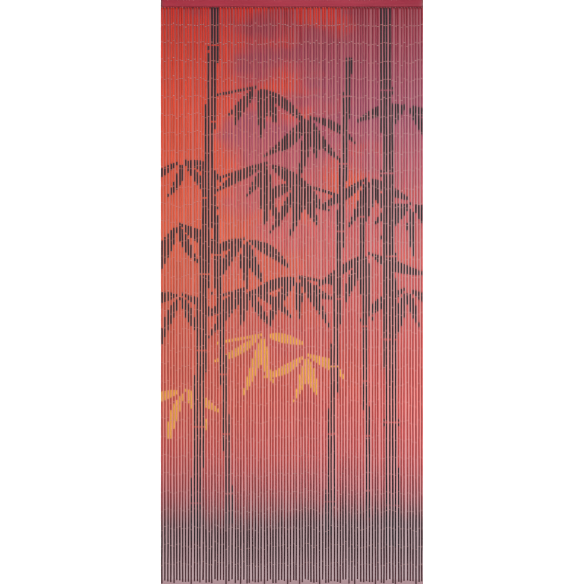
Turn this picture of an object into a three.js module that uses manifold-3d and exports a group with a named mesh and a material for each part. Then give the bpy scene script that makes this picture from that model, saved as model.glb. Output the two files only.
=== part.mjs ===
// Door curtain of bamboo: strands of slender tubes hang from a painted wooden slat.
// Millimetres, +Z up, the front faces -Y. The origin is the middle of the slat's top face,
// which is screwed under a lintel or hung from two hooks.
import * as THREE from "three";
import { mergeVertices } from "three/addons/utils/BufferGeometryUtils.js";
import Module from "manifold-3d";

const wasm = await Module();
wasm.setup();

// Driving dimensions of the whole curtain.
const CURTAIN_WIDTH = 900;
const CURTAIN_DROP = 2000;
const STRAND_COUNT = 90;

// The slat: a planed batten with eased long edges.
const SLAT_HEIGHT = 25;
const SLAT_DEPTH = 12;
const SLAT_EDGE = 1.2;

// The strip that carries the roots of the strands, close under the slat.
const SEAT_GAP = 0.3;
const STRIP_HEIGHT = 2.4;
const STRIP_DEPTH = 6;
const STRIP_INSET = 2;
const ROOT_DEPTH = 1.2;

// A strand: a square section with the area of its round tubes, which hangs almost plumb.
const TUBE_DIAMETER = 5.5;
const STRAND_SIDE = (TUBE_DIAMETER * Math.sqrt(Math.PI)) / 2;
const THICKER_ABOVE = 0.18; // how much thicker a strand is at its root than at its end
const THICKER_UNTIL = 0.625; // the share of the drop over which it grows thinner
const END_MARGIN = 4; // from the slat's end to the middle of the outermost strand
const STRAND_PITCH = (CURTAIN_WIDTH - 2 * END_MARGIN) / (STRAND_COUNT - 1);
const STRAND_STEPS = 8;
const UNEVEN_LENGTH = 9; // how far a strand's end may lie above or below the nominal drop
const STAPLE_OFF = 2; // how far a strand's root may lie beside its even place
const LEAN = 1.2; // sideways drift of a strand's end
const WANDER = 0.5; // sideways bow of a strand between its ends
const SWAY = 0.9; // drift of a strand's end to the front or the back

// Finishes.
const SLAT_PAINT = { color: 0xa43949, roughness: 0.45, metalness: 0 };
const BAMBOO_PAINT = { color: 0xbe5f58, roughness: 0.55, metalness: 0 };

// The strands' unevenness: each trait has its own fixed series of numbers from -1 to 1,
// the fraction of a steep sine wave.
const TRAIT = { length: 1, lean: 2, bow: 3, sway: 4, staple: 23 };
const WAVE = { perStrand: 12.9898, perTrait: 78.233, height: 43758.5453 };

function scatter(strand, trait) {
  const wave = Math.sin(strand * WAVE.perStrand + trait * WAVE.perTrait) * WAVE.height;
  return 2 * (wave - Math.floor(wave)) - 1;
}

// The middle of a strand at a share of its drop, from 0 at the root to 1 at the lower end.
function strandPoint(strand, share) {
  const middle = (STRAND_COUNT - 1) / 2;
  const root = STAPLE_OFF * scatter(strand, TRAIT.staple) * (1 - share);
  const drift = LEAN * scatter(strand, TRAIT.lean) * share;
  const bow = WANDER * scatter(strand, TRAIT.bow) * Math.sin(2 * Math.PI * share);
  const top = -SLAT_HEIGHT - SEAT_GAP - STRIP_HEIGHT + ROOT_DEPTH;
  const end = -CURTAIN_DROP + UNEVEN_LENGTH * scatter(strand, TRAIT.length);
  return new THREE.Vector3(
    (strand - middle) * STRAND_PITCH + root + drift + bow,
    SWAY * scatter(strand, TRAIT.sway) * share,
    top + (end - top) * share,
  );
}

// The side of a strand's section at a share of its drop.
function strandSide(share) {
  return STRAND_SIDE * (1 + THICKER_ABOVE * Math.max(0, 1 - share / THICKER_UNTIL));
}

// A closed prism of square section through a strand's points.
function strandGeometry(strand) {
  const corners = [[-1, -1], [1, -1], [1, 1], [-1, 1]];
  const sides = corners.length;
  const positions = [];
  for (let step = 0; step <= STRAND_STEPS; step++) {
    const share = step / STRAND_STEPS;
    const point = strandPoint(strand, share);
    const half = strandSide(share) / 2;
    for (const [x, y] of corners) {
      positions.push(point.x + x * half, point.y + y * half, point.z);
    }
  }
  const faces = [[0, 1, 2], [0, 2, 3]];
  for (let step = 0; step < STRAND_STEPS; step++) {
    for (let side = 0; side < sides; side++) {
      const upper = step * sides + side;
      const upperNext = step * sides + ((side + 1) % sides);
      faces.push([upper, upper + sides, upperNext]);
      faces.push([upperNext, upper + sides, upperNext + sides]);
    }
  }
  const last = STRAND_STEPS * sides;
  faces.push([last, last + 2, last + 1], [last, last + 3, last + 2]);
  const geometry = new THREE.BufferGeometry();
  geometry.setAttribute("position", new THREE.Float32BufferAttribute(positions, 3));
  geometry.setIndex(faces.flat());
  return geometry;
}

// A closed geometry as a solid that can be joined to others.
function solidOf(geometry) {
  const bare = geometry.clone();
  bare.deleteAttribute("normal");
  bare.deleteAttribute("uv");
  const merged = mergeVertices(bare);
  return new wasm.Manifold(
    new wasm.Mesh({
      numProp: 3,
      vertProperties: new Float32Array(merged.attributes.position.array),
      triVerts: new Uint32Array(merged.index.array),
    }),
  );
}

function geometryOf(solid) {
  const { vertProperties, triVerts } = solid.getMesh();
  const geometry = new THREE.BufferGeometry();
  geometry.setAttribute("position", new THREE.BufferAttribute(vertProperties, 3));
  geometry.setIndex(new THREE.BufferAttribute(triVerts, 1));
  geometry.computeVertexNormals();
  return geometry;
}

// The slat, extruded along X from its section with bevelled corners.
function makeSlat() {
  const depth = SLAT_DEPTH / 2;
  const inner = depth - SLAT_EDGE;
  const section = new THREE.Shape();
  section.moveTo(-inner, -SLAT_HEIGHT);
  section.lineTo(inner, -SLAT_HEIGHT);
  section.lineTo(depth, SLAT_EDGE - SLAT_HEIGHT);
  section.lineTo(depth, -SLAT_EDGE);
  section.lineTo(inner, 0);
  section.lineTo(-inner, 0);
  section.lineTo(-depth, -SLAT_EDGE);
  section.lineTo(-depth, SLAT_EDGE - SLAT_HEIGHT);
  section.closePath();
  const geometry = new THREE.ExtrudeGeometry(section, { depth: CURTAIN_WIDTH, bevelEnabled: false });
  const slat = new THREE.Mesh(geometry, new THREE.MeshStandardMaterial(SLAT_PAINT));
  slat.name = "slat";
  // The section is drawn in X and Y and extruded along Z: this turns it to Y, Z and X.
  slat.quaternion.setFromRotationMatrix(
    new THREE.Matrix4().makeBasis(
      new THREE.Vector3(0, 1, 0),
      new THREE.Vector3(0, 0, 1),
      new THREE.Vector3(1, 0, 0),
    ),
  );
  slat.position.x = -CURTAIN_WIDTH / 2;
  return slat;
}

// The strands, each rooted in the one narrow strip.
function makeStrands() {
  const strip = new THREE.BoxGeometry(CURTAIN_WIDTH - 2 * STRIP_INSET, STRIP_DEPTH, STRIP_HEIGHT);
  strip.translate(0, 0, -SLAT_HEIGHT - SEAT_GAP - STRIP_HEIGHT / 2);
  let joined = solidOf(strip);
  for (let strand = 0; strand < STRAND_COUNT; strand++) {
    joined = joined.add(solidOf(strandGeometry(strand)));
  }
  const strands = new THREE.Mesh(geometryOf(joined), new THREE.MeshStandardMaterial(BAMBOO_PAINT));
  strands.name = "strands";
  return strands;
}

const curtain = new THREE.Group();
curtain.name = "bamboo_door_curtain";
curtain.add(makeSlat(), makeStrands());

export default curtain;
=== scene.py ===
"""Looks of the bamboo door curtain: painted tubes on linked wires, hung from a crimson slat.

Metres, +Z up, the front faces -Y. The strands follow the same lines as the solids of the CAD model.
Colours are written as 8-bit sRGB.
"""
import math

import bpy
import numpy as np
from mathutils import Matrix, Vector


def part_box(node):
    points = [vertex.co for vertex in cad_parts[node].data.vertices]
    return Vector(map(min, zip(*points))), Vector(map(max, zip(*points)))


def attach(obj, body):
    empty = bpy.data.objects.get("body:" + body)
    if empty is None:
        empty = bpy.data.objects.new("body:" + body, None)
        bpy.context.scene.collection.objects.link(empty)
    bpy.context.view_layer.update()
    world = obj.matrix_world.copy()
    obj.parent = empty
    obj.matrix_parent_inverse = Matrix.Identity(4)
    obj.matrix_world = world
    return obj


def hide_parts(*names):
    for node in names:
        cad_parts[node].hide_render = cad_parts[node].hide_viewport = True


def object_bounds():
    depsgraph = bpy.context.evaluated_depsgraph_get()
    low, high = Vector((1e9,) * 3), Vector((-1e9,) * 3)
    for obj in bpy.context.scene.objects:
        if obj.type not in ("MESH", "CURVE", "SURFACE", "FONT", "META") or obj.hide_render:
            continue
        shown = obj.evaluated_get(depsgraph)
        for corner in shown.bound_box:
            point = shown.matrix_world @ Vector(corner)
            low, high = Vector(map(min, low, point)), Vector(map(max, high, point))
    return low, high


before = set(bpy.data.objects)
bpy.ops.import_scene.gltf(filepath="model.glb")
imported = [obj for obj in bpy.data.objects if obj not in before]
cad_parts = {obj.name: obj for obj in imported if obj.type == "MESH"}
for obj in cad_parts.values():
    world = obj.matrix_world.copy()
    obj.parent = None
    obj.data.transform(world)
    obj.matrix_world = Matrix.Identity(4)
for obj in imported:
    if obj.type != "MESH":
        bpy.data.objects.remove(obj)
cad_low, cad_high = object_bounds()
slat_low, slat_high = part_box("slat")

MM = 0.001
SEED = 11

# The strands, as in the CAD model.
STRAND_COUNT = 90
CURTAIN_WIDTH = slat_high.x - slat_low.x
CURTAIN_DROP = 2000 * MM
END_MARGIN = 4 * MM
STRAND_PITCH = (CURTAIN_WIDTH - 2 * END_MARGIN) / (STRAND_COUNT - 1)
ROOT_BELOW = 1.2 * MM  # from the top of the strip in the CAD model to the roots
STRAND_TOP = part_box("strands")[1].z - ROOT_BELOW
UNEVEN_LENGTH = 9 * MM  # how far a strand's end may lie above or below the nominal drop
STAPLE_OFF = 2.0 * MM  # how far a strand's root may lie beside its even place
LEAN = 1.2 * MM  # sideways drift of a strand's end
WANDER = 0.5 * MM  # sideways bow of a strand between its ends
SWAY = 0.9 * MM  # drift of a strand's end to the front or the back
WASH_DRIFT = 14 * MM  # how far the wash of one strand lies above or below that of the next
TRAIT = {"length": 1, "lean": 2, "bow": 3, "sway": 4, "staple": 23}
WAVE = {"per_strand": 12.9898, "per_trait": 78.233, "height": 43758.5453}

# Wire: each tube has an eye at both ends, and the eyes of neighbours are linked.
WIRE_DIAMETER = 0.7 * MM
WIRE_SIDES = 4
EYE_RADIUS = 0.8 * MM
EYE_ARC = np.radians([-50, 20, 90, 160, 230])
EYE_LEG = 1.8 * MM
EYE_LEG_SPREAD = 0.4 * MM
EYE_TURN = 0.5

# The gaps at the joints are wider near the top, where more weight pulls at the eyes.
JOINT_GAP_SLACK = 0.8 * MM
JOINT_GAP_LOADED = 2.0 * MM
JOINT_GAP_SPREAD = 0.3 * MM
JOINT_GAP_FALL = 5
TOP_GAP = 1.8 * MM

# Tubes: thicker towards the top, down to a share of the drop, as in the CAD model.
TUBES_PER_STRAND = 32
TUBE_SIDES = 10
TUBE_RADIUS = 2.75 * MM
TUBE_RADIUS_SPREAD = 0.036
THICKER_ABOVE = 0.18
THICKER_UNTIL = 0.625
TUBE_TAPER = 0.03
BORE_RADIUS = 1.3 * MM
CUT_EDGE = 0.25 * MM
CUT_TILT = 1.5  # how steeply the shading turns over a cut edge
TUBE_BEND = 0.15 * MM
LENGTH_SPREAD = 2.7 * MM
JOINT_JITTER = 0.35 * MM
OVAL = 0.03
THREE_SIDED = 0.015
BRUSH_TURN = 0.12

# Pieces: the tubes of neighbouring strands are joined, and so is their wire.
STRANDS_PER_TUBE_PIECE = 15
STRANDS_PER_WIRE_PIECE = 45


def scatter(strand, trait):
    """A fixed number from -1 to 1 for each strand and trait."""
    angle = strand * WAVE["per_strand"] + TRAIT[trait] * WAVE["per_trait"]
    wave = math.sin(angle) * WAVE["height"]
    return 2 * (wave - math.floor(wave)) - 1


class Strand:
    """The line that one strand hangs in, and the heights of its joints."""

    def __init__(self, index, rng):
        self.index = index
        self.x = (index - (STRAND_COUNT - 1) / 2) * STRAND_PITCH
        self.end = -CURTAIN_DROP + UNEVEN_LENGTH * scatter(index, "length")
        walk = np.cumsum(rng.normal(0, LENGTH_SPREAD, TUBES_PER_STRAND))
        share = np.linspace(0, 1, TUBES_PER_STRAND + 1)
        self.gaps = JOINT_GAP_SLACK + (JOINT_GAP_LOADED - JOINT_GAP_SLACK) * (1 - share) ** JOINT_GAP_FALL
        self.gaps += rng.uniform(-JOINT_GAP_SPREAD, JOINT_GAP_SPREAD, TUBES_PER_STRAND + 1)
        self.gaps[0] = TOP_GAP
        self.reaches = (self.gaps + WIRE_DIAMETER) / 2
        first = slat_low.z - self.gaps[0] / 2
        last = self.end + self.reaches[-1] - self.gaps[-1] / 2
        self.joints = first + (last - first) * share
        self.joints[1:] += walk - walk[-1] * share[1:]
        self.jitter = rng.uniform(-JOINT_JITTER, JOINT_JITTER, (TUBES_PER_STRAND + 1, 2))
        self.jitter[0] = 0
        self.eye_angles = rng.normal(0, EYE_TURN, TUBES_PER_STRAND + 1)
        self.eye_angles[0] = 0
        self.drift = rng.normal(0, WASH_DRIFT)

    def points(self, heights):
        """Points of the line at these heights."""
        share = np.clip((heights - STRAND_TOP) / (self.end - STRAND_TOP), 0, 1)
        root = STAPLE_OFF * scatter(self.index, "staple") * (1 - share)
        drift = LEAN * scatter(self.index, "lean") * share
        bow = WANDER * scatter(self.index, "bow") * np.sin(2 * math.pi * share)
        x = self.x + root + drift + bow
        y = SWAY * scatter(self.index, "sway") * share
        return np.stack([x, y, heights], -1)

    def thickness(self, height):
        """How thick the tubes are at a height, against those of the lower end."""
        share = (height - STRAND_TOP) / (self.end - STRAND_TOP)
        return 1 + THICKER_ABOVE * max(0, 1 - share / THICKER_UNTIL)

    def joint_points(self):
        places = self.points(self.joints)
        places[:, :2] += self.jitter
        return places


# The painted design: bamboo canes and leaves in near-black and gold over a wash of colours.
SAMPLE_STEP = 1 * MM
SHORTEST_DASH = 7 * MM
DASH_EDGE = 2 * MM
CANES = (
    # foot x, head x, foot height, head height, half width, distance between nodes
    {"foot": -0.330, "head": -0.262, "low": -1.86, "high": 0.00, "half": 0.019, "node": 0.262},
    {"foot": -0.215, "head": -0.292, "low": -1.80, "high": -0.36, "half": 0.012, "node": 0.205},
    {"foot": 0.128, "head": 0.196, "low": -1.84, "high": -0.20, "half": 0.014, "node": 0.232},
    {"foot": 0.345, "head": 0.318, "low": -1.88, "high": 0.00, "half": 0.022, "node": 0.285},
    {"foot": 0.262, "head": 0.235, "low": -1.78, "high": -0.66, "half": 0.010, "node": 0.188},
)
CANE_NODE_GAP = 2.5 * MM
CANE_BEND = 1.3
CANE_FOOT = 1.1
CANE_TAPER = 0.25
CANE_SWELL = 0.22
CANE_SWELL_REACH = 12 * MM
SPRAYS = (
    # where the twig leaves, how far it goes to the side and up, leaves, colour
    {"x": -0.270, "z": -0.33, "out": 0.15, "up": 0.03, "leaves": 5, "paint": "ink"},
    {"x": -0.285, "z": -0.60, "out": -0.09, "up": 0.05, "leaves": 4, "paint": "ink"},
    {"x": -0.275, "z": -0.62, "out": 0.19, "up": 0.06, "leaves": 6, "paint": "ink"},
    {"x": -0.280, "z": -0.86, "out": 0.12, "up": 0.04, "leaves": 5, "paint": "ink"},
    {"x": -0.300, "z": -1.05, "out": -0.08, "up": 0.04, "leaves": 4, "paint": "ink"},
    {"x": 0.185, "z": -0.46, "out": -0.13, "up": 0.06, "leaves": 6, "paint": "ink"},
    {"x": 0.180, "z": -0.68, "out": -0.16, "up": 0.05, "leaves": 6, "paint": "ink"},
    {"x": 0.240, "z": -0.66, "out": 0.02, "up": 0.05, "leaves": 5, "paint": "ink"},
    {"x": 0.325, "z": -0.40, "out": 0.07, "up": 0.04, "leaves": 4, "paint": "ink"},
    {"x": 0.330, "z": -0.74, "out": 0.08, "up": 0.04, "leaves": 5, "paint": "ink"},
    {"x": 0.160, "z": -0.98, "out": -0.14, "up": 0.03, "leaves": 5, "paint": "ink"},
    {"x": 0.335, "z": -1.02, "out": 0.06, "up": 0.03, "leaves": 4, "paint": "ink"},
    {"x": -0.300, "z": -0.80, "out": -0.09, "up": 0.03, "leaves": 4, "paint": "ink"},
    {"x": 0.330, "z": -0.90, "out": -0.07, "up": 0.03, "leaves": 4, "paint": "ink"},
    {"x": -0.255, "z": -1.02, "out": 0.10, "up": 0.03, "leaves": 5, "paint": "ink"},
    {"x": -0.260, "z": -1.18, "out": 0.16, "up": 0.03, "leaves": 5, "paint": "gold"},
    {"x": 0.150, "z": -1.24, "out": -0.10, "up": 0.02, "leaves": 4, "paint": "gold"},
    {"x": -0.310, "z": -1.36, "out": -0.06, "up": 0.02, "leaves": 4, "paint": "gold"},
)
LEAF_LENGTH = (0.13, 0.23)
LEAF_HALF_WIDTH = (0.013, 0.019)
LEAF_BEND = 0.018
LEAF_STALK = 0.012
LEAF_FULLNESS = 0.75
LEAF_FAN = (math.radians(-150), math.radians(-30))
LEAF_FAN_SPREAD = 0.12
TWIG_HALF_WIDTH = 0.005


def cane_cover(cane, x, z):
    """Where a cane is painted, with a thin bare line at each of its nodes."""
    rise = (z - cane["low"]) / (cane["high"] - cane["low"])
    middle = cane["foot"] + (cane["head"] - cane["foot"]) * rise ** CANE_BEND
    from_node = np.abs((z - cane["low"]) % cane["node"] - cane["node"] / 2)
    swell = 1 + CANE_SWELL * np.exp(-((from_node / CANE_SWELL_REACH) ** 2))
    half = cane["half"] * swell * (CANE_FOOT - CANE_TAPER * rise)
    inside = np.abs(x - middle) < half
    return inside & (rise > 0) & (rise < 1) & (from_node > CANE_NODE_GAP)


def leaf_cover(base, tip, half_width, bend, x, z):
    """Where a lance-shaped leaf is painted."""
    along_x, along_z = tip[0] - base[0], tip[1] - base[1]
    length = math.hypot(along_x, along_z)
    share = np.clip(((x - base[0]) * along_x + (z - base[1]) * along_z) / length ** 2, 0, 1)
    aside = ((z - base[1]) * along_x - (x - base[0]) * along_z) / length
    spine = bend * 4 * share * (1 - share)
    return np.abs(aside - spine) < half_width * np.sin(math.pi * share ** LEAF_FULLNESS)


def twig_cover(base, tip, x, z):
    along_x, along_z = tip[0] - base[0], tip[1] - base[1]
    length = math.hypot(along_x, along_z)
    share = ((x - base[0]) * along_x + (z - base[1]) * along_z) / length ** 2
    aside = ((z - base[1]) * along_x - (x - base[0]) * along_z) / length
    return (np.abs(aside) < TWIG_HALF_WIDTH) & (share > 0) & (share < 1)


def spray_cover(spray, rng, x, z):
    """A twig with a fan of leaves at its tip."""
    base = (spray["x"], spray["z"])
    tip = (base[0] + spray["out"], base[1] + spray["up"])
    cover = twig_cover(base, tip, x, z)
    fan = np.linspace(*LEAF_FAN, spray["leaves"])
    fan += rng.normal(0, LEAF_FAN_SPREAD, spray["leaves"])
    for angle in fan:
        length = rng.uniform(*LEAF_LENGTH)
        root = (tip[0] + LEAF_STALK * math.cos(angle), tip[1] + LEAF_STALK * math.sin(angle))
        end = (root[0] + length * math.cos(angle), root[1] + length * math.sin(angle))
        bend = LEAF_BEND * rng.uniform(-1, 1)
        cover |= leaf_cover(root, end, rng.uniform(*LEAF_HALF_WIDTH), bend, x, z)
    return cover


def painted_dashes(strands, rng):
    """For each paint the stretches of each strand that it covers, as pairs of heights."""
    heights = np.arange(-CURTAIN_DROP - UNEVEN_LENGTH, slat_low.z, SAMPLE_STEP)
    x = np.stack([s.points(heights)[:, 0] for s in strands])
    z = np.broadcast_to(heights, x.shape)
    cover = {"ink": np.zeros(x.shape, bool), "gold": np.zeros(x.shape, bool)}
    for cane in CANES:
        cover["ink"] |= cane_cover(cane, x, z)
    for spray in SPRAYS:
        cover[spray["paint"]] |= spray_cover(spray, rng, x, z)
    return {paint: [dashes_of(row, heights) for row in rows] for paint, rows in cover.items()}


def dashes_of(row, heights):
    """The runs of a row of yes and no, as pairs of heights. Short breaks and short runs go."""
    edges = np.flatnonzero(np.diff(np.concatenate([[0], row.astype(np.int8), [0]])))
    runs = [[heights[a], heights[min(b, len(heights) - 1)]] for a, b in zip(edges[::2], edges[1::2])]
    joined = []
    for run in runs:
        if joined and run[0] - joined[-1][1] < DASH_EDGE * 2:
            joined[-1][1] = run[1]
        else:
            joined.append(run)
    return [run for run in joined if run[1] - run[0] > SHORTEST_DASH]


def paint_level(dashes, heights):
    """From 0 to 1, with a short ramp over each end of a dash."""
    level = np.zeros(len(heights))
    for low, high in dashes:
        depth = np.minimum(heights - low, high - heights)
        level = np.maximum(level, np.clip(0.5 + depth / (2 * DASH_EDGE), 0, 1))
    return level


class MeshArrays:
    """Vertices, quads, point attributes and a bake map, gathered piece by piece."""

    def __init__(self, *attributes):
        self.points = []
        self.normals = []
        self.quads = []
        self.maps = []
        self.attributes = {name: [] for name in attributes}
        self.count = 0

    def add(self, points, normals, quads, maps, **attributes):
        self.points.append(points)
        self.normals.append(normals)
        self.quads.append(quads + self.count)
        self.maps.append(maps)
        for name, values in attributes.items():
            self.attributes[name].append(np.broadcast_to(values, len(points)))
        self.count += len(points)

    def build(self, name, material):
        points = np.concatenate(self.points)
        quads = np.concatenate(self.quads)
        mesh = bpy.data.meshes.new(name)
        mesh.vertices.add(len(points))
        mesh.vertices.foreach_set("co", points.astype(np.float32).ravel())
        mesh.loops.add(quads.size)
        mesh.loops.foreach_set("vertex_index", quads.astype(np.int32).ravel())
        mesh.polygons.add(len(quads))
        mesh.polygons.foreach_set("loop_start", np.arange(0, quads.size, 4, dtype=np.int32))
        mesh.polygons.foreach_set("use_smooth", np.ones(len(quads), bool))
        mesh.update(calc_edges=True)
        mesh.validate()
        bake_map = mesh.uv_layers.new(name="OFBake")
        bake_map.uv.foreach_set("vector", np.concatenate(self.maps).astype(np.float32).ravel())
        for attribute, values in self.attributes.items():
            layer = mesh.attributes.new(attribute, "FLOAT", "POINT")
            layer.data.foreach_set("value", np.concatenate(values).astype(np.float32))
        mesh.normals_split_custom_set_from_vertices(np.concatenate(self.normals))
        mesh.materials.append(material)
        piece = bpy.data.objects.new(name, mesh)
        bpy.context.scene.collection.objects.link(piece)
        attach(piece, "root")
        return piece


def ring_quads(rings, sides, closed):
    """Quads between neighbouring rings of points, and back to the first ring if closed."""
    ring = np.arange(rings if closed else rings - 1)[:, None]
    side = np.arange(sides)[None, :]
    after = (ring + 1) % rings
    beside = (side + 1) % sides
    corners = [ring * sides + side, after * sides + side, after * sides + beside, ring * sides + beside]
    return np.stack(np.broadcast_arrays(*corners), -1).reshape(-1, 4)


def band_map(starts, ends, sides, cell):
    """The bake map of bands of quads, each from a start to an end across a cell (u, v, width, height)."""
    u0, v0, width, height = cell
    left = u0 + width * np.arange(sides) / sides
    right = u0 + width * (np.arange(sides) + 1) / sides
    bands = []
    for start, end in zip(starts, ends):
        corners = np.empty((sides, 4, 2))
        corners[:, (0, 1), 0] = left[:, None]
        corners[:, (2, 3), 0] = right[:, None]
        corners[:, (0, 3), 1] = v0 + height * start
        corners[:, (1, 2), 1] = v0 + height * end
        bands.append(corners.reshape(-1, 2))
    return np.concatenate(bands)


# Shares of a tube's cell in the bake map: bore, lower cut, wall, upper cut.
MAP_BORE = 0.04
MAP_LOWER_CUT = 0.08
MAP_UPPER_CUT = 0.92
MAP_CELL_FILL = 0.96

# Shares of an eye's cell: the caps, and where the wire starts and ends.
MAP_CAPS = 0.05
MAP_WIRE = (0.06, 0.94)

# The cells themselves: a strand's tubes take several columns, with a small margin around each.
MAP_FOLDS = 4
MAP_CELL_START = (0.02, 0.01)
MAP_CELL_SIZE = (0.96, 0.97)


def tube_heights(top, bottom, dashes):
    """The heights of a tube's rings: its cut edges, its middle and both sides of each paint edge."""
    edges = {top, top - CUT_EDGE, (top + bottom) / 2, bottom + CUT_EDGE, bottom}
    inner_top, inner_bottom = top - 2 * CUT_EDGE, bottom + 2 * CUT_EDGE
    for paint in dashes.values():
        for ends in paint:
            for end in ends:
                for height in (end - DASH_EDGE, end + DASH_EDGE):
                    if inner_bottom < height < inner_top:
                        edges.add(height)
    return np.array(sorted(edges, reverse=True))


def add_tube(arrays, strand, number, dashes, rng, cell):
    """One tube: a hollow, slightly oval and bent length of bamboo with chamfered cuts."""
    places = strand.joint_points()
    start, end = places[number], places[number + 1]
    top, bottom = start[2] - strand.gaps[number] / 2, end[2] + strand.gaps[number + 1] / 2
    near = {p: [d for d in rows if d[1] > bottom and d[0] < top] for p, rows in dashes.items()}
    heights = tube_heights(top, bottom, near)
    rings = len(heights)
    share = (top - heights) / (top - bottom)
    angles = 2 * math.pi * np.arange(TUBE_SIDES) / TUBE_SIDES
    axis = start + (end - start) * share[:, None]
    lean = rng.uniform(0, 2 * math.pi)
    axis[:, 0] += TUBE_BEND * math.cos(lean) * np.sin(math.pi * share)
    axis[:, 1] += TUBE_BEND * math.sin(lean) * np.sin(math.pi * share)
    radius = TUBE_RADIUS * strand.thickness((top + bottom) / 2)
    radius *= 1 + rng.normal(0, TUBE_RADIUS_SPREAD)
    radius = radius * (1 + TUBE_TAPER * rng.uniform(-1, 1) * (share - 0.5))
    radius[[0, -1]] -= CUT_EDGE
    oval = 1 + OVAL * np.cos(2 * (angles - rng.uniform(0, math.pi)))
    oval += THREE_SIDED * np.cos(3 * (angles - rng.uniform(0, math.pi)))
    circle = np.stack([np.cos(angles), np.sin(angles), np.zeros(TUBE_SIDES)], -1)
    wall = circle * oval[:, None] * radius[:, None, None]
    wall += np.concatenate([axis[:, :2], heights[:, None]], 1)[:, None, :]
    bore = circle * BORE_RADIUS + np.stack([wall[-1].mean(0), wall[0].mean(0)])[:, None, :]
    points = np.concatenate([wall, bore]).reshape(-1, 3)
    normals = np.broadcast_to(circle, (rings + 2, TUBE_SIDES, 3)).copy()
    normals[[0, -1], :, 2] = CUT_TILT
    normals[[rings - 1, -2], :, 2] = -CUT_TILT
    normals[rings:, :, :2] *= -1
    normals /= np.linalg.norm(normals, axis=-1, keepdims=True)
    wall_map = MAP_UPPER_CUT + (MAP_LOWER_CUT - MAP_UPPER_CUT) * share
    starts = [*wall_map, MAP_BORE, MAP_CELL_FILL]
    ends = [*wall_map[1:], MAP_BORE, 0, MAP_UPPER_CUT]
    facing = -np.sin(angles + rng.normal(0, BRUSH_TURN))
    levels = {p: np.append(paint_level(near[p], heights), [0, 0]) for p in near}
    bare = np.zeros(rings + 2)
    bare[[0, rings - 1, rings, rings + 1]] = 1
    from_cut = np.append(np.minimum(top - heights, heights - bottom), [0, 0])
    arrays.add(
        points,
        normals.reshape(-1, 3),
        ring_quads(rings + 2, TUBE_SIDES, closed=True),
        band_map(starts, ends, TUBE_SIDES, cell),
        ink=np.repeat(levels["ink"], TUBE_SIDES),
        gold=np.repeat(levels["gold"], TUBE_SIDES),
        bare=np.repeat(bare, TUBE_SIDES),
        from_cut=np.repeat(from_cut, TUBE_SIDES),
        facing=np.tile(facing, rings + 2),
        tone=rng.uniform(),
        drift=strand.drift,
    )


def eye_path(reach):
    """An eye's line: across and along, from the tube's end outward, with both legs in the bore."""
    middle = reach - EYE_RADIUS
    across = EYE_RADIUS * np.cos(EYE_ARC)
    along = middle + EYE_RADIUS * np.sin(EYE_ARC)
    across = np.concatenate([[EYE_LEG_SPREAD], across, [-EYE_LEG_SPREAD]])
    along = np.concatenate([[-EYE_LEG], along, [-EYE_LEG]])
    return np.stack([across, along], -1)


def add_eye(arrays, place, way, reach, angle, cell):
    """One wire eye at a tube's end. Way is 1 for an eye that points up and -1 for one that hangs down."""
    path = eye_path(reach)
    steps = np.gradient(path, axis=0)
    steps /= np.linalg.norm(steps, axis=1, keepdims=True)
    across = np.array([math.cos(angle), math.sin(angle), 0])
    aside = np.array([-math.sin(angle), math.cos(angle), 0])
    up = np.array([0, 0, way])
    line = place + path[:, :1] * across + path[:, 1:] * up
    outward = steps[:, 1:] * across - steps[:, :1] * up
    turn = 2 * math.pi * (np.arange(WIRE_SIDES) + 0.5) / WIRE_SIDES
    ring = np.cos(turn)[None, :, None] * outward[:, None] + np.sin(turn)[None, :, None] * aside
    if way > 0:
        ring = ring[:, ::-1]
    points = line[:, None] + ring * WIRE_DIAMETER / 2
    quads = ring_quads(len(path), WIRE_SIDES, closed=False)
    last = (len(path) - 1) * WIRE_SIDES
    caps = np.array([[0, 1, 2, 3], [last + 3, last + 2, last + 1, last]])
    along = np.linspace(*MAP_WIRE, len(path))
    maps = band_map(along[:-1], along[1:], WIRE_SIDES, cell)
    u, v, width, height = cell
    cap = np.array([[0, 0], [1, 0], [1, MAP_CAPS], [0, MAP_CAPS]]) * [width, height] + [u, v]
    arrays.add(
        points.reshape(-1, 3),
        ring.reshape(-1, 3),
        np.concatenate([quads, caps]),
        np.concatenate([maps, cap, cap]),
    )


def colour(red, green, blue):
    """An sRGB colour as linear RGBA."""
    linear = []
    for value in (red, green, blue):
        share = value / 255
        linear.append(share / 12.92 if share <= 0.04045 else ((share + 0.055) / 1.055) ** 2.4)
    return (*linear, 1.0)


WARM_WASH = (
    # share of the drop, colour
    (0.00, colour(170, 25, 13)),
    (0.20, colour(192, 57, 30)),
    (0.42, colour(197, 79, 50)),
    (0.62, colour(172, 61, 47)),
    (0.78, colour(165, 56, 53)),
    (0.865, colour(120, 47, 52)),
    (0.91, colour(51, 20, 27)),
    (0.94, colour(47, 20, 27)),
    (0.97, colour(68, 35, 42)),
    (1.00, colour(78, 43, 50)),
)
COOL_WASH = (
    (0.00, colour(116, 20, 36)),
    (0.20, colour(135, 57, 82)),
    (0.42, colour(183, 76, 77)),
    (0.62, colour(168, 57, 53)),
    (0.78, colour(163, 56, 56)),
    (0.835, colour(128, 49, 55)),
    (0.89, colour(50, 20, 28)),
    (0.94, colour(49, 22, 29)),
    (0.97, colour(70, 38, 46)),
    (1.00, colour(80, 46, 53)),
)
INK = colour(30, 17, 25)
GOLD = colour(206, 146, 50)
BAMBOO = colour(198, 156, 148)
BAMBOO_VEIN = colour(158, 114, 110)
BASE_COAT = colour(196, 84, 88)
WIRE_LIGHT = colour(210, 200, 206)
WIRE_DARK = colour(174, 162, 168)
# The slat's crimson coat, darkened towards its right end by painted shade.
SLAT_COAT_AND_SHADE = (
    # share of the slat's length, colour
    (0.00, colour(139, 27, 47)),
    (0.45, colour(140, 36, 54)),
    (0.70, colour(137, 36, 55)),
    (1.00, colour(122, 22, 44)),
)
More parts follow.
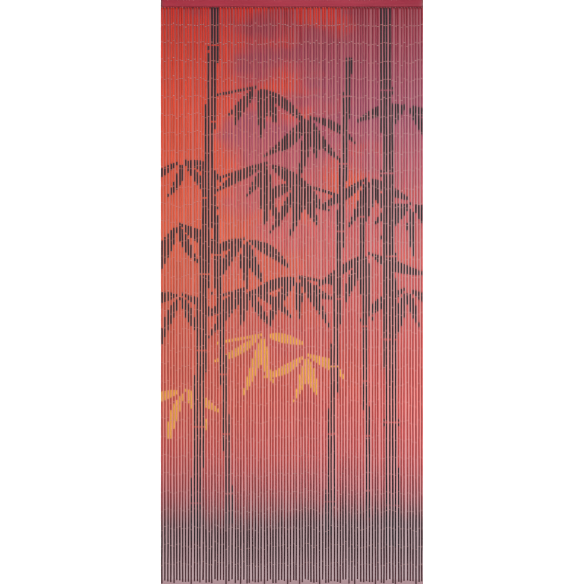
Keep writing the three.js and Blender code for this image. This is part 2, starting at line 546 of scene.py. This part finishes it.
SLAT_BRUSHED = (0.93, 1.03)
# A painted highlight on the slat's upper rims.
SLAT_HIGHLIGHT = colour(184, 84, 94)
# Painted shade on the slat's ends.
SLAT_END_SHADE = colour(90, 28, 38)


# Noise mostly lies in the wide range, and half of it in the narrow one.
NOISE_RANGE = (0.3, 0.7)
NOISE_MIDDLE = (0.35, 0.65)

# The wash is cool where the clouds are dense, and more so towards the right.
CLOUD = {"scale": 2.8, "stretch": (1.0, 1.0, 1.7), "detail": 4.0, "offset": (3.1, 0, 5.2)}
CLOUD_BY_SIDE = (-0.17, 0.21)
COOL_RANGE = (0.42, 0.60)

# Streaks and fibres along the tubes, and how much they and a tube's own tone change the paint.
STREAK = {"scale": 1.0, "stretch": (520, 520, 16), "detail": 3.0}
FIBRE = {"scale": 1.0, "stretch": (2600, 2600, 45), "detail": 2.0}
TONE_SHADE = (0.92, 1.06)
STREAK_SHADE = (0.86, 1.1)
FIBRE_SHADE = (0.94, 1.05)

# Ink and gold end in ragged edges, and so does the base coat on the back.
EDGE = {"scale": 1.0, "stretch": (300, 300, 130), "detail": 3.0}
EDGE_RANGE = (0.25, 0.75)
RAGGED = 0.32
PAINT_EDGE = (0.40, 0.60)
BACK_RANGE = (-0.45, -0.8)
BACK_COVER = 0.8

# Bare bamboo shows on the cuts, and in specks where the paint is rubbed off, mostly near a cut.
WORN_RAGGED = 0.6
WORN_RANGE = (0.3, 0.6)
RUB = {"scale": 1.0, "stretch": (900, 900, 300), "detail": 3.0, "offset": (0.7, 0, 0)}
RUB_REACH = 0.7 * MM
RUB_NEAR_CUT = 0.3
RUB_RANGE = (0.68, 0.78)

# Sheen and relief of the paint.
PAINT_ROUGH = (0.38, 0.54)
BARE_ROUGHER = 0.2
PAINT_SPECULAR = 0.22
STREAK_RELIEF = 0.8
PAINT_RELIEF = (0.35, 0.15 * MM)

# The wire's dull places.
DULL = {"scale": 420, "detail": 2.0}
WIRE_ROUGH = (0.32, 0.5)
WIRE_METALLIC = 0.3

# The slat's paint: brush marks and faint clouds, and a painted highlight on its upper rims, broken up by
# the brush marks.
BRUSH = {"scale": 1.0, "stretch": (6, 420, 420), "detail": 4.0}
BRUSH_SHARE = 0.6
SLAT_CLOUD = {"scale": 9.0, "stretch": (1, 3, 3), "detail": 3.0}
SLAT_HIGHLIGHT_STRENGTH = (0.35, 1.0)
SLAT_ROUGH = (0.36, 0.5)
SLAT_SPECULAR = 0.3
SLAT_RELIEF = (0.15, 0.2 * MM)


class Shader:
    """A node material, with short calls to add and link its nodes."""

    def __init__(self, name):
        self.material = bpy.data.materials.new(name)
        self.material.use_nodes = True
        self.tree = self.material.node_tree
        self.surface = self.tree.nodes["Principled BSDF"]

    def add(self, kind, **settings):
        node = self.tree.nodes.new("ShaderNode" + kind)
        for name, value in settings.items():
            setattr(node, name, value)
        return node

    def put(self, socket, value):
        """Sets an input, or links it where the value is another node's output."""
        if isinstance(value, bpy.types.NodeSocket):
            self.tree.links.new(value, socket)
        else:
            socket.default_value = value

    def attribute(self, name):
        return self.add("Attribute", attribute_name=name).outputs["Fac"]

    def math(self, operation, *values):
        node = self.add("Math", operation=operation)
        for socket, value in zip(node.inputs, values):
            self.put(socket, value)
        return node.outputs[0]

    def ramp(self, value, low, high, to_low=0.0, to_high=1.0, smooth=True):
        """A value from low to high, mapped to another range."""
        node = self.add("MapRange", interpolation_type="SMOOTHSTEP" if smooth else "LINEAR")
        for name, number in (("Value", value), ("From Min", low), ("From Max", high)):
            self.put(node.inputs[name], number)
        self.put(node.inputs["To Min"], to_low)
        self.put(node.inputs["To Max"], to_high)
        return node.outputs[0]

    def mix(self, share, first, second, blend="MIX"):
        node = self.add("Mix", data_type="RGBA", blend_type=blend)
        self.put(node.inputs[0], share)
        self.put(node.inputs[6], first)
        self.put(node.inputs[7], second)
        return node.outputs[2]

    def colours(self, share, stops):
        node = self.add("ValToRGB")
        ramp = node.color_ramp
        while len(ramp.elements) < len(stops):
            ramp.elements.new(1.0)
        for element, (place, shade) in zip(ramp.elements, stops):
            element.position = place
            element.color = shade
        self.put(node.inputs[0], share)
        return node.outputs[0]

    def grey(self, value):
        """A colour with the value in each channel."""
        node = self.add("CombineColor")
        for socket in node.inputs[:3]:
            self.put(socket, value)
        return node.outputs[0]

    def place(self):
        return self.add("TexCoord").outputs["Object"]

    def axes(self):
        """The object's own coordinates, as outputs named X, Y and Z."""
        node = self.add("SeparateXYZ")
        self.put(node.inputs[0], self.place())
        return node.outputs

    def noise(self, scale, stretch=(1, 1, 1), detail=3.0, offset=(0, 0, 0)):
        """Noise over the object's own coordinates."""
        mapping = self.add("Mapping")
        self.put(mapping.inputs["Vector"], self.place())
        self.put(mapping.inputs["Scale"], stretch)
        self.put(mapping.inputs["Location"], offset)
        node = self.add("TexNoise")
        self.put(node.inputs["Vector"], mapping.outputs[0])
        self.put(node.inputs["Scale"], scale)
        self.put(node.inputs["Detail"], detail)
        return node.outputs["Fac"]

    def bump(self, height, strength, distance):
        node = self.add("Bump")
        self.put(node.inputs["Height"], height)
        self.put(node.inputs["Strength"], strength)
        self.put(node.inputs["Distance"], distance)
        self.put(self.surface.inputs["Normal"], node.outputs[0])


def painted_bamboo():
    """Bamboo under a wash of orange, red and mauve, with ink and gold on it, rubbed bare at the cuts."""
    shader = Shader("painted_bamboo")
    axes = shader.axes()
    height = shader.math("ADD", axes["Z"], shader.attribute("drift"))
    drop = shader.ramp(height, 0.0, -CURTAIN_DROP, smooth=False)
    side = shader.ramp(axes["X"], slat_low.x, slat_high.x, *CLOUD_BY_SIDE, smooth=False)
    cool = shader.ramp(shader.math("ADD", shader.noise(**CLOUD), side), *COOL_RANGE)
    wash = shader.mix(cool, shader.colours(drop, WARM_WASH), shader.colours(drop, COOL_WASH))
    streak = shader.noise(**STREAK)
    fibre = shader.noise(**FIBRE)
    tone = shader.ramp(shader.attribute("tone"), 0, 1, *TONE_SHADE, smooth=False)
    shade = shader.math("MULTIPLY", tone, shader.ramp(streak, *NOISE_RANGE, *STREAK_SHADE))
    shade = shader.math("MULTIPLY", shade, shader.ramp(fibre, *NOISE_RANGE, *FIBRE_SHADE))
    grey = shader.grey(shade)
    wash = shader.mix(1.0, wash, grey, "MULTIPLY")
    ragged = shader.ramp(shader.noise(**EDGE), *EDGE_RANGE, -RAGGED, RAGGED, smooth=False)
    gold = shader.ramp(shader.math("ADD", shader.attribute("gold"), ragged), *PAINT_EDGE)
    ink = shader.ramp(shader.math("ADD", shader.attribute("ink"), ragged), *PAINT_EDGE)
    painted = shader.mix(gold, wash, shader.mix(1.0, GOLD, grey, "MULTIPLY"))
    painted = shader.mix(ink, painted, shader.mix(1.0, INK, grey, "MULTIPLY"))
    bamboo = shader.mix(shader.ramp(fibre, *NOISE_RANGE), BAMBOO, BAMBOO_VEIN)
    back = shader.ramp(shader.math("ADD", shader.attribute("facing"), ragged), *BACK_RANGE)
    coat = shader.mix(1.0, BASE_COAT, grey, "MULTIPLY")
    painted = shader.mix(shader.math("MULTIPLY", back, BACK_COVER), painted, coat)
    uneven = shader.math("MULTIPLY", ragged, WORN_RAGGED)
    wear_and_highlight = shader.ramp(shader.math("ADD", shader.attribute("bare"), uneven), *WORN_RANGE)
    near_cut = shader.ramp(shader.attribute("from_cut"), 0, RUB_REACH, RUB_NEAR_CUT, 0)
    rubbed = shader.ramp(shader.math("ADD", shader.noise(**RUB), near_cut), *RUB_RANGE)
    bare = shader.math("MAXIMUM", wear_and_highlight, rubbed)
    shader.put(shader.surface.inputs["Base Color"], shader.mix(bare, painted, bamboo))
    rough = shader.ramp(streak, *NOISE_RANGE, *PAINT_ROUGH)
    rough = shader.math("ADD", rough, shader.math("MULTIPLY", bare, BARE_ROUGHER))
    shader.put(shader.surface.inputs["Roughness"], rough)
    shader.put(shader.surface.inputs["Specular IOR Level"], PAINT_SPECULAR)
    relief = shader.math("ADD", fibre, shader.math("MULTIPLY", streak, STREAK_RELIEF))
    shader.bump(relief, *PAINT_RELIEF)
    return shader.material


def wire_metal():
    """Thin galvanised wire, dull in places."""
    shader = Shader("wire")
    dull = shader.noise(**DULL)
    metal = shader.mix(shader.ramp(dull, *NOISE_MIDDLE), WIRE_LIGHT, WIRE_DARK)
    shader.put(shader.surface.inputs["Base Color"], metal)
    shader.put(shader.surface.inputs["Metallic"], WIRE_METALLIC)
    shader.put(shader.surface.inputs["Roughness"], shader.ramp(dull, *NOISE_RANGE, *WIRE_ROUGH))
    return shader.material


def slat_paint():
    """Crimson satin paint brushed along the slat, with a painted highlight on its upper edges and painted
    shade at its ends and towards its right end.
    """
    shader = Shader("slat_paint")
    axes = shader.axes()
    brush = shader.noise(**BRUSH)
    brushed = shader.math("MULTIPLY", brush, BRUSH_SHARE)
    clouded = shader.math("MULTIPLY", shader.noise(**SLAT_CLOUD), 1 - BRUSH_SHARE)
    mixed = shader.math("ADD", brushed, clouded)
    shade = shader.grey(shader.ramp(mixed, *NOISE_MIDDLE, *SLAT_BRUSHED))
    # Painted shade: the coat darkens towards the right end.
    along = shader.ramp(axes["X"], slat_low.x, slat_high.x, smooth=False)
    paint = shader.mix(1.0, shader.colours(along, SLAT_COAT_AND_SHADE), shade, "MULTIPLY")
    # Painted shade on both ends of the slat.
    beside = shader.math("ABSOLUTE", axes["X"])
    end = shader.ramp(beside, slat_high.x - SLAT_END_REACH, slat_high.x)
    paint = shader.mix(end, paint, SLAT_END_SHADE)
    # A painted highlight on the upper rims, broken up by the brush marks.
    before = shader.math("ABSOLUTE", axes["Y"])
    front = shader.ramp(before, slat_high.y - SLAT_ROUND, slat_high.y)
    top = shader.ramp(axes["Z"], slat_high.z - SLAT_ROUND, slat_high.z)
    wear_and_highlight = shader.ramp(brush, *NOISE_MIDDLE, *SLAT_HIGHLIGHT_STRENGTH)
    rim_highlight = shader.math("MULTIPLY", shader.math("MULTIPLY", front, top), wear_and_highlight)
    shader.put(shader.surface.inputs["Base Color"], shader.mix(rim_highlight, paint, SLAT_HIGHLIGHT))
    shader.put(shader.surface.inputs["Roughness"], shader.ramp(brush, *NOISE_RANGE, *SLAT_ROUGH))
    shader.put(shader.surface.inputs["Specular IOR Level"], SLAT_SPECULAR)
    shader.bump(brush, *SLAT_RELIEF)
    return shader.material


# The slat: a batten with rounded edges and faint unevenness along its length.
SLAT_ROUND = 2.6 * MM
SLAT_ROUND_BELOW = 4.6 * MM
SLAT_END_REACH = 9 * MM
SLAT_ARC_STEPS = 4
SLAT_LENGTH_STEPS = 60
SLAT_UNEVEN = 0.12 * MM
SLAT_WAVES = ((1.0, 23, 0), (0.6, 61, 1))  # height, radians to a metre, start

# The ends close over half a rounding: shares of that length, and the section's size at the outer two.
SLAT_END_STEPS = (0, 0.6, 1.0)
SLAT_END_SIZES = (0.86, 0.97)


def slat_section():
    """The section's outline in Y and Z, counted from the lower front corner, which is the roundest."""
    corners = (
        # corner, the ways in from it, radius, where its arc starts
        (slat_low.y, slat_low.z, 1, 1, SLAT_ROUND_BELOW, 180),
        (slat_high.y, slat_low.z, -1, 1, SLAT_ROUND, 270),
        (slat_high.y, slat_high.z, -1, -1, SLAT_ROUND, 0),
        (slat_low.y, slat_high.z, 1, -1, SLAT_ROUND, 90),
    )
    outline = []
    for y, z, in_y, in_z, radius, start in corners:
        for angle in np.radians(np.linspace(start, start + 90, SLAT_ARC_STEPS + 1)):
            turn_y = y + radius * (in_y + math.cos(angle))
            turn_z = z + radius * (in_z + math.sin(angle))
            outline.append((turn_y, turn_z))
    return np.array(outline)


def make_slat(material):
    """The slat with softly closed ends, in the place of the CAD solid."""
    outline = slat_section()
    middle = outline.mean(0)
    ends = np.array(SLAT_END_STEPS) * SLAT_ROUND / 2
    inner = np.linspace(slat_low.x + ends[-1], slat_high.x - ends[-1], SLAT_LENGTH_STEPS + 1)
    places = np.concatenate([slat_low.x + ends[:-1], inner, slat_high.x - ends[-2::-1]])
    shrink = np.ones(len(places))
    shrink[[0, -1]], shrink[[1, -2]] = SLAT_END_SIZES
    waves = SLAT_UNEVEN * sum(tall * np.sin(places * turn + start) for tall, turn, start in SLAT_WAVES)
    rings = middle + (outline - middle) * shrink[:, None, None]
    points = np.empty((len(places), len(outline), 3))
    points[:, :, 0] = places[:, None]
    points[:, :, 1] = rings[:, :, 0] * (1 - np.abs(waves[:, None]) / slat_high.y)
    points[:, :, 2] = rings[:, :, 1]
    vertices = points.reshape(-1, 3).tolist()
    count = len(outline)
    faces = ring_quads(len(places), count, closed=False)[:, ::-1].tolist()
    faces.append(list(range(count))[::-1])
    faces.append([(len(places) - 1) * count + i for i in range(count)])
    mesh = bpy.data.meshes.new("painted_slat")
    mesh.from_pydata(vertices, [], faces)
    mesh.polygons.foreach_set("use_smooth", np.ones(len(faces), bool))
    mesh.materials.append(material)
    piece = bpy.data.objects.new("painted_slat", mesh)
    bpy.context.scene.collection.objects.link(piece)
    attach(piece, "root")
    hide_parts("slat")
    return piece


def cells(columns, rows):
    """The cells of a grid over the bake map: their corners and sizes."""
    width, height = MAP_CELL_SIZE[0] / columns, MAP_CELL_SIZE[1] / rows
    for column in range(columns):
        for row in range(rows):
            left, low = (column + MAP_CELL_START[0]) / columns, (row + MAP_CELL_START[1]) / rows
            yield (left, low, width, height)


def make_tubes(strands, dashes, rng, material):
    for first in range(0, STRAND_COUNT, STRANDS_PER_TUBE_PIECE):
        arrays = MeshArrays("ink", "gold", "bare", "from_cut", "facing", "tone", "drift")
        group = strands[first:first + STRANDS_PER_TUBE_PIECE]
        room = cells(len(group) * MAP_FOLDS, TUBES_PER_STRAND // MAP_FOLDS)
        for strand in group:
            own = {paint: rows[strand.index] for paint, rows in dashes.items()}
            for number in range(TUBES_PER_STRAND):
                add_tube(arrays, strand, number, own, rng, next(room))
        piece = arrays.build(f"tubes_{first // STRANDS_PER_TUBE_PIECE + 1}", material)
        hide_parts("strands")


def make_wire(strands, material):
    for first in range(0, STRAND_COUNT, STRANDS_PER_WIRE_PIECE):
        arrays = MeshArrays()
        group = strands[first:first + STRANDS_PER_WIRE_PIECE]
        room = cells(len(group), 2 * TUBES_PER_STRAND + 1)
        for strand in group:
            joints = zip(strand.joint_points(), strand.gaps, strand.reaches, strand.eye_angles)
            for number, (place, gap, reach, angle) in enumerate(joints):
                half = np.array([0, 0, gap / 2])
                add_eye(arrays, place + half, -1, reach, angle, next(room))
                if number < TUBES_PER_STRAND:
                    add_eye(arrays, place - half, 1, reach, angle + math.pi / 2, next(room))
        piece = arrays.build(f"wire_{first // STRANDS_PER_WIRE_PIECE + 1}", material)


# The stage.
FLOOR_BELOW = 30 * MM
SCREEN_BEHIND = 11 * MM
SCREEN_HALF_WIDTH = 6.0
SCREEN_TOP = 3.0
FLOOR_HALF_WIDTH = 6.0
STAGE_WHITE = colour(250, 249, 249)
STAGE_PALE = colour(208, 206, 205)
STAGE_BLACK = colour(0, 0, 0)
STAGE_ROUGH = 0.9
SCREEN_GLOW = colour(179, 179, 179)
FLOOR_GLOW = 0.7
FLOOR_GLOW_BEHIND = 0.35
FLOOR_GLOW_FROM = 1.5
FLOOR_GLOW_FULL = 4.5
# The curtain's painted shadow on the screen: how far it reaches past the strands' sides and below their
# ends, and how soft its edge is.
PAINTED_SHADOW_BEYOND = 2.2 * MM
PAINTED_SHADOW_BELOW = 12 * MM
PAINTED_SHADOW_EDGE = 1 * MM
PAINTED_SHADOW_LEFT = (
    # share of the drop, glow of the screen behind the strands: the curtain's painted shadow, rosy with
    # painted bounce light, with the slat's painted shadow at the top
    (0.0128, colour(104, 30, 34)),
    (0.0142, colour(156, 74, 78)),
    (0.06, colour(168, 80, 77)),
    (0.20, colour(202, 104, 92)),
    (0.45, colour(206, 124, 111)),
    (0.70, colour(221, 139, 125)),
    (0.84, colour(209, 142, 143)),
    (0.90, colour(184, 150, 154)),
    (0.9965, colour(192, 166, 170)),
    (1.00, colour(176, 144, 150)),
)
PAINTED_SHADOW_RIGHT = (
    (0.0128, colour(104, 36, 44)),
    (0.0142, colour(162, 94, 104)),
    (0.06, colour(174, 109, 119)),
    (0.20, colour(192, 138, 148)),
    (0.45, colour(212, 158, 159)),
    (0.70, colour(239, 154, 153)),
    (0.84, colour(223, 158, 162)),
    (0.90, colour(190, 166, 171)),
    (0.9965, colour(194, 171, 176)),
    (1.00, colour(176, 144, 150)),
)

# Soft lights, and a white surround that looks brighter than the light it gives.
LIGHTS = (
    # name, place, size, power in watts
    ("key", (2.8, -2.9, 0.1), (1.4, 2.0), 140),
    ("fill", (-2.2, -3.6, 0.1), (2.0, 2.4), 40),
    ("top", (0.4, -1.2, 2.2), (2.0, 0.8), 30),
    ("back", (-1.6, 3.4, 0.4), (2.4, 2.4), 80),
)
SURROUND_LIGHT = 0.25
SURROUND_LOOK = 1.0

# The camera stands in front of the middle of the curtain, so that its frame just holds the drop.
FRAME_TOP = -0.5 * MM
FRAME_HEIGHT = 2006.5 * MM
CAMERA_DISTANCE = 3.0
SENSOR_WIDTH = 36  # millimetres
PIXEL_FILTER = 1.2


def stage_sheet(name, corners, material):
    mesh = bpy.data.meshes.new(name)
    mesh.from_pydata(corners, [], [(0, 1, 2, 3)])
    mesh.materials.append(material)
    sheet = bpy.data.objects.new(name, mesh)
    bpy.context.scene.collection.objects.link(sheet)
    return sheet


def floor_material():
    """A pale floor, lighter far from the curtain and behind the screen, which does not light it there."""
    shader = Shader("floor")
    far = shader.add("VectorMath", operation="LENGTH")
    shader.put(far.inputs[0], shader.place())
    glow = shader.ramp(far.outputs["Value"], FLOOR_GLOW_FROM, FLOOR_GLOW_FULL, 0, FLOOR_GLOW)
    behind = shader.math("GREATER_THAN", shader.axes()["Y"], SCREEN_BEHIND)
    glow = shader.math("MAXIMUM", glow, shader.math("MULTIPLY", behind, FLOOR_GLOW_BEHIND))
    shader.put(shader.surface.inputs["Base Color"], STAGE_PALE)
    shader.put(shader.surface.inputs["Roughness"], STAGE_ROUGH)
    shader.put(shader.surface.inputs["Emission Color"], STAGE_WHITE)
    shader.put(shader.surface.inputs["Emission Strength"], glow)
    return shader.material


def screen_material():
    """A screen with a soft glow: white beside the curtain, and behind its strands a darker rosy glow,
    which is the curtain's painted shadow with painted bounce light from the strands.

    It is clear from behind, so that the curtain's back can be looked at.
    """
    shader = Shader("screen")
    axes = shader.axes()
    # Painted shadow behind the strands: a glow that is darker towards the top and darkest under the slat,
    # rosy with painted bounce light.
    half = CURTAIN_WIDTH / 2
    edge = half + PAINTED_SHADOW_BEYOND
    foot = -CURTAIN_DROP - PAINTED_SHADOW_BELOW
    inside = shader.ramp(shader.math("ABSOLUTE", axes["X"]), edge + PAINTED_SHADOW_EDGE, edge)
    under = shader.ramp(axes["Z"], slat_high.z, slat_low.z)
    above = shader.ramp(axes["Z"], foot - PAINTED_SHADOW_EDGE, foot)
    behind = shader.math("MULTIPLY", shader.math("MULTIPLY", inside, under), above)
    drop = shader.ramp(axes["Z"], 0.0, -CURTAIN_DROP, smooth=False)
    side = shader.ramp(axes["X"], -half, half, smooth=False)
    painted_shadow = shader.mix(side, shader.colours(drop, PAINTED_SHADOW_LEFT), shader.colours(drop, PAINTED_SHADOW_RIGHT))
    shader.put(shader.surface.inputs["Base Color"], shader.mix(behind, STAGE_WHITE, STAGE_BLACK))
    shader.put(shader.surface.inputs["Roughness"], STAGE_ROUGH)
    shader.put(shader.surface.inputs["Specular IOR Level"], 0.0)
    shader.put(shader.surface.inputs["Emission Color"], shader.mix(behind, SCREEN_GLOW, painted_shadow))
    shader.put(shader.surface.inputs["Emission Strength"], 1.0)
    sides = shader.add("NewGeometry")
    clear = shader.add("BsdfTransparent")
    choice = shader.add("MixShader")
    shader.put(choice.inputs[0], sides.outputs["Backfacing"])
    shader.put(choice.inputs[1], shader.surface.outputs[0])
    shader.put(choice.inputs[2], clear.outputs[0])
    output = shader.tree.nodes["Material Output"]
    shader.put(output.inputs["Surface"], choice.outputs[0])
    return shader.material


def make_stage():
    ground = cad_low.z - FLOOR_BELOW
    wide = FLOOR_HALF_WIDTH
    stage_sheet(
        "floor",
        [(-wide, -wide, ground), (wide, -wide, ground), (wide, wide, ground), (-wide, wide, ground)],
        floor_material(),
    )
    half, back = SCREEN_HALF_WIDTH, SCREEN_BEHIND
    screen = stage_sheet(
        "screen",
        [(-half, back, ground), (half, back, ground), (half, back, SCREEN_TOP), (-half, back, SCREEN_TOP)],
        screen_material(),
    )
    screen.visible_shadow = False


def aim(thing, target):
    direction = target - np.array(thing.location)
    flat = math.hypot(direction[0], direction[1])
    thing.rotation_euler = (math.atan2(flat, -direction[2]), 0, math.atan2(-direction[0], direction[1]))


def make_light(name, place, size, power):
    data = bpy.data.lights.new(name, "AREA")
    data.shape = "RECTANGLE"
    data.size, data.size_y = size
    data.energy = power
    light = bpy.data.objects.new(name, data)
    light.location = place
    aim(light, np.array([0, 0, -CURTAIN_DROP / 2]))
    bpy.context.scene.collection.objects.link(light)


def make_surround():
    world = bpy.data.worlds.new("studio")
    world.use_nodes = True
    nodes, links = world.node_tree.nodes, world.node_tree.links
    sky = nodes["Background"]
    sky.inputs["Color"].default_value = (1, 1, 1, 1)
    path = nodes.new("ShaderNodeLightPath")
    level = nodes.new("ShaderNodeMapRange")
    level.inputs["To Min"].default_value = SURROUND_LIGHT
    level.inputs["To Max"].default_value = SURROUND_LOOK
    links.new(path.outputs["Is Camera Ray"], level.inputs["Value"])
    links.new(level.outputs[0], sky.inputs["Strength"])
    bpy.context.scene.world = world


def make_camera():
    data = bpy.data.cameras.new("camera")
    data.sensor_width = SENSOR_WIDTH
    data.lens = data.sensor_width * CAMERA_DISTANCE / FRAME_HEIGHT
    camera = bpy.data.objects.new("camera", data)
    camera.location = (0, -CAMERA_DISTANCE, FRAME_TOP - FRAME_HEIGHT / 2)
    camera.rotation_euler = (math.pi / 2, 0, 0)
    bpy.context.scene.collection.objects.link(camera)
    bpy.context.scene.camera = camera


def main():
    rng = np.random.default_rng(SEED)
    make_camera()
    strands = [Strand(index, rng) for index in range(STRAND_COUNT)]
    dashes = painted_dashes(strands, rng)
    make_tubes(strands, dashes, rng, painted_bamboo())
    make_wire(strands, wire_metal())
    make_slat(slat_paint())
    make_stage()
    for light in LIGHTS:
        make_light(*light)
    make_surround()
    bpy.context.scene.view_settings.view_transform = "Standard"
    bpy.context.scene.cycles.filter_width = PIXEL_FILTER


main()
